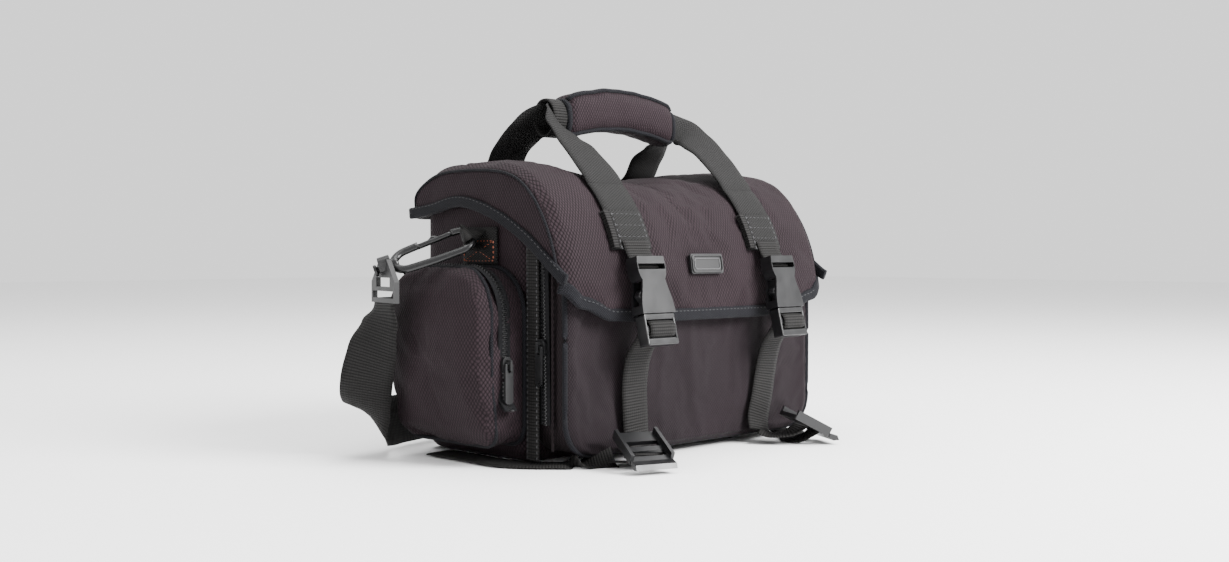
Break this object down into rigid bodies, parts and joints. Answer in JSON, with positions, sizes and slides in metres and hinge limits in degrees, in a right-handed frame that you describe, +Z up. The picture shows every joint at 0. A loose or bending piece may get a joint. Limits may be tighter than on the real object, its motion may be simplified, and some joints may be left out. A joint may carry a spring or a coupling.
{
  "type": "camera bag",
  "caption": "Soft camera bag with a hooded lid on side-release buckles, front and side zip pockets, padded dividers, a wrap-grip handle and a shoulder strap on snap hooks.",
  "frame": {"origin": "middle of the main compartment's base, on the ground", "axes": "+X to the bag's right, -Y out of its front, +Z up"},
  "size_m": [0.454, 0.263, 0.278],
  "materials": {
    "shell_fabric": "ballistic-weave nylon, dark brown-grey",
    "webbing": "ribbed polypropylene webbing",
    "zip_tape": "woven zip tape",
    "zip_metal": "black painted metal",
    "black_plastic": "satin black acetal",
    "hook_metal": "black painted metal",
    "divider_foam": "brushed nylon over foam",
    "lining": "brushed grey lining",
    "badge_rubber": "moulded soft rubber"
  },
  "bodies": {
    "bag": {"main_shell": "shell_fabric", "base_board": "divider_foam", "padded_liner": "lining", "divider_left": "divider_foam", "divider_right": "divider_foam", "short_divider": "divider_foam", "front_pocket": "shell_fabric", "strap_slider": "black_plastic", "front_zipper_left": "zip_tape", "side_pocket_left": "shell_fabric", "side_cover_left": "shell_fabric", "side_zipper_left": "zip_tape", "lower_strap_left": "webbing", "ladder_lock_left": "black_plastic", "strap_tail_left": "webbing", "side_tab_left": "webbing", "snap_hook_left": "hook_metal", "shoulder_strap_left": "webbing", "front_zipper_right": "zip_tape", "side_pocket_right": "shell_fabric", "side_cover_right": "shell_fabric", "side_zipper_right": "zip_tape", "lower_strap_right": "webbing", "ladder_lock_right": "black_plastic", "strap_tail_right": "webbing", "side_tab_right": "webbing", "snap_hook_right": "hook_metal", "shoulder_strap_right": "webbing"},
    "lid": {"lid": "shell_fabric", "badge": "badge_rubber", "lid_strap_left": "webbing", "buckle_socket_left": "black_plastic", "handle_front_leg_left": "webbing", "handle_rear_leg_left": "webbing", "lid_strap_right": "webbing", "buckle_socket_right": "black_plastic", "handle_front_leg_right": "webbing", "handle_rear_leg_right": "webbing"},
    "handle": {"handle_grip": "shell_fabric"},
    "plug_left": {"buckle_plug_left": "black_plastic"},
    "prong_left_a": {"buckle_prong_left_a": "black_plastic"},
    "prong_left_b": {"buckle_prong_left_b": "black_plastic"},
    "front_slider_left": {"front_zip_left_slider": "zip_metal"},
    "front_pull_left": {"front_zip_left_pull": "zip_metal"},
    "side_slider_left": {"side_zip_left_slider": "zip_metal"},
    "side_pull_left": {"side_zip_left_pull": "zip_metal"},
    "gate_left": {"hook_gate_left": "hook_metal"},
    "eye_left": {"strap_eye_left": "black_plastic"},
    "plug_right": {"buckle_plug_right": "black_plastic"},
    "prong_right_a": {"buckle_prong_right_a": "black_plastic"},
    "prong_right_b": {"buckle_prong_right_b": "black_plastic"},
    "front_slider_right": {"front_zip_right_slider": "zip_metal"},
    "front_pull_right": {"front_zip_right_pull": "zip_metal"},
    "side_slider_right": {"side_zip_right_slider": "zip_metal"},
    "side_pull_right": {"side_zip_right_pull": "zip_metal"},
    "gate_right": {"hook_gate_right": "hook_metal"},
    "eye_right": {"strap_eye_right": "black_plastic"}
  },
  "joints": [
    {"name": "lid_hinge", "type": "hinge", "parent": "bag", "child": "lid", "pos_m": [0, 0.0654, 0.174], "axis": [-1, 0, 0], "range_deg": [0, 110]},
    {"name": "handle_drop", "type": "slide", "parent": "lid", "child": "handle", "axis": [0, 0, -1], "range_m": [0, 0.018], "deforming": ["handle_front_leg_left", "handle_front_leg_right", "handle_rear_leg_left", "handle_rear_leg_right"]},
    {"name": "plug_left_release", "type": "slide", "parent": "bag", "child": "plug_left", "axis": [0, -0.2377, -0.9713], "range_m": [0, 0.022], "deforming": ["lower_strap_left"]},
    {"name": "prong_left_a_squeeze", "type": "hinge", "parent": "plug_left", "child": "prong_left_a", "pos_m": [-0.0843, -0.12275, 0.10618], "axis": [0, 0.9713, -0.2377], "range_deg": [0, 8], "stiffness_Nm_per_rad": 0.3},
    {"name": "prong_left_b_squeeze", "type": "hinge", "parent": "plug_left", "child": "prong_left_b", "pos_m": [-0.0657, -0.12275, 0.10618], "axis": [0, -0.9713, 0.2377], "range_deg": [0, 8], "stiffness_Nm_per_rad": 0.3},
    {"name": "front_zip_left_run", "type": "slide", "parent": "bag", "child": "front_slider_left", "axis": [0, 0, 1], "range_m": [0, 0.06]},
    {"name": "front_pull_left_flip", "type": "hinge", "parent": "front_slider_left", "child": "front_pull_left", "pos_m": [-0.1431, -0.0772, 0.084], "axis": [0, 1, 0], "range_deg": [0, 90]},
    {"name": "side_zip_left_run", "type": "slide", "parent": "bag", "child": "side_slider_left", "axis": [0, 0, 1], "range_m": [0, 0.035]},
    {"name": "side_pull_left_flip", "type": "hinge", "parent": "side_slider_left", "child": "side_pull_left", "pos_m": [-0.161, -0.0661, 0.072], "axis": [-1, 0, 0], "range_deg": [0, 90]},
    {"name": "hook_gate_left_press", "type": "hinge", "parent": "bag", "child": "gate_left", "pos_m": [-0.16962, 0.01242, 0.15068], "axis": [0.2367, -0.1986, -0.9511], "range_deg": [0, 16], "stiffness_Nm_per_rad": 0.05},
    {"name": "strap_eye_left_swivel", "type": "hinge", "parent": "bag", "child": "eye_left", "pos_m": [-0.19977, 0.02414, 0.14073], "axis": [-0.7286, 0.6113, -0.309], "range_deg": [-5, 22], "deforming": ["shoulder_strap_left"]},
    {"name": "plug_right_release", "type": "slide", "parent": "bag", "child": "plug_right", "axis": [0, -0.2377, -0.9713], "range_m": [0, 0.022], "deforming": ["lower_strap_right"]},
    {"name": "prong_right_a_squeeze", "type": "hinge", "parent": "plug_right", "child": "prong_right_a", "pos_m": [0.0657, -0.12275, 0.10618], "axis": [0, 0.9713, -0.2377], "range_deg": [0, 8], "stiffness_Nm_per_rad": 0.3},
    {"name": "prong_right_b_squeeze", "type": "hinge", "parent": "plug_right", "child": "prong_right_b", "pos_m": [0.0843, -0.12275, 0.10618], "axis": [0, -0.9713, 0.2377], "range_deg": [0, 8], "stiffness_Nm_per_rad": 0.3},
    {"name": "front_zip_right_run", "type": "slide", "parent": "bag", "child": "front_slider_right", "axis": [0, 0, 1], "range_m": [0, 0.06]},
    {"name": "front_pull_right_flip", "type": "hinge", "parent": "front_slider_right", "child": "front_pull_right", "pos_m": [0.1431, -0.0772, 0.084], "axis": [0, -1, 0], "range_deg": [0, 90]},
    {"name": "side_zip_right_run", "type": "slide", "parent": "bag", "child": "side_slider_right", "axis": [0, 0, 1], "range_m": [0, 0.035]},
    {"name": "side_pull_right_flip", "type": "hinge", "parent": "side_slider_right", "child": "side_pull_right", "pos_m": [0.161, -0.0661, 0.072], "axis": [-1, 0, 0], "range_deg": [0, 90]},
    {"name": "hook_gate_right_press", "type": "hinge", "parent": "bag", "child": "gate_right", "pos_m": [0.16962, 0.01242, 0.15068], "axis": [0.2367, 0.1986, 0.9511], "range_deg": [0, 16], "stiffness_Nm_per_rad": 0.05},
    {"name": "strap_eye_right_swivel", "type": "hinge", "parent": "bag", "child": "eye_right", "pos_m": [0.19977, 0.02414, 0.14073], "axis": [-0.7286, -0.6113, 0.309], "range_deg": [-5, 22], "deforming": ["shoulder_strap_right"]}
  ],
  "couplings": [
    {"joint": "prong_left_b_squeeze", "follows": "prong_left_a_squeeze", "ratio": 1},
    {"joint": "prong_right_b_squeeze", "follows": "prong_right_a_squeeze", "ratio": 1}
  ]
}
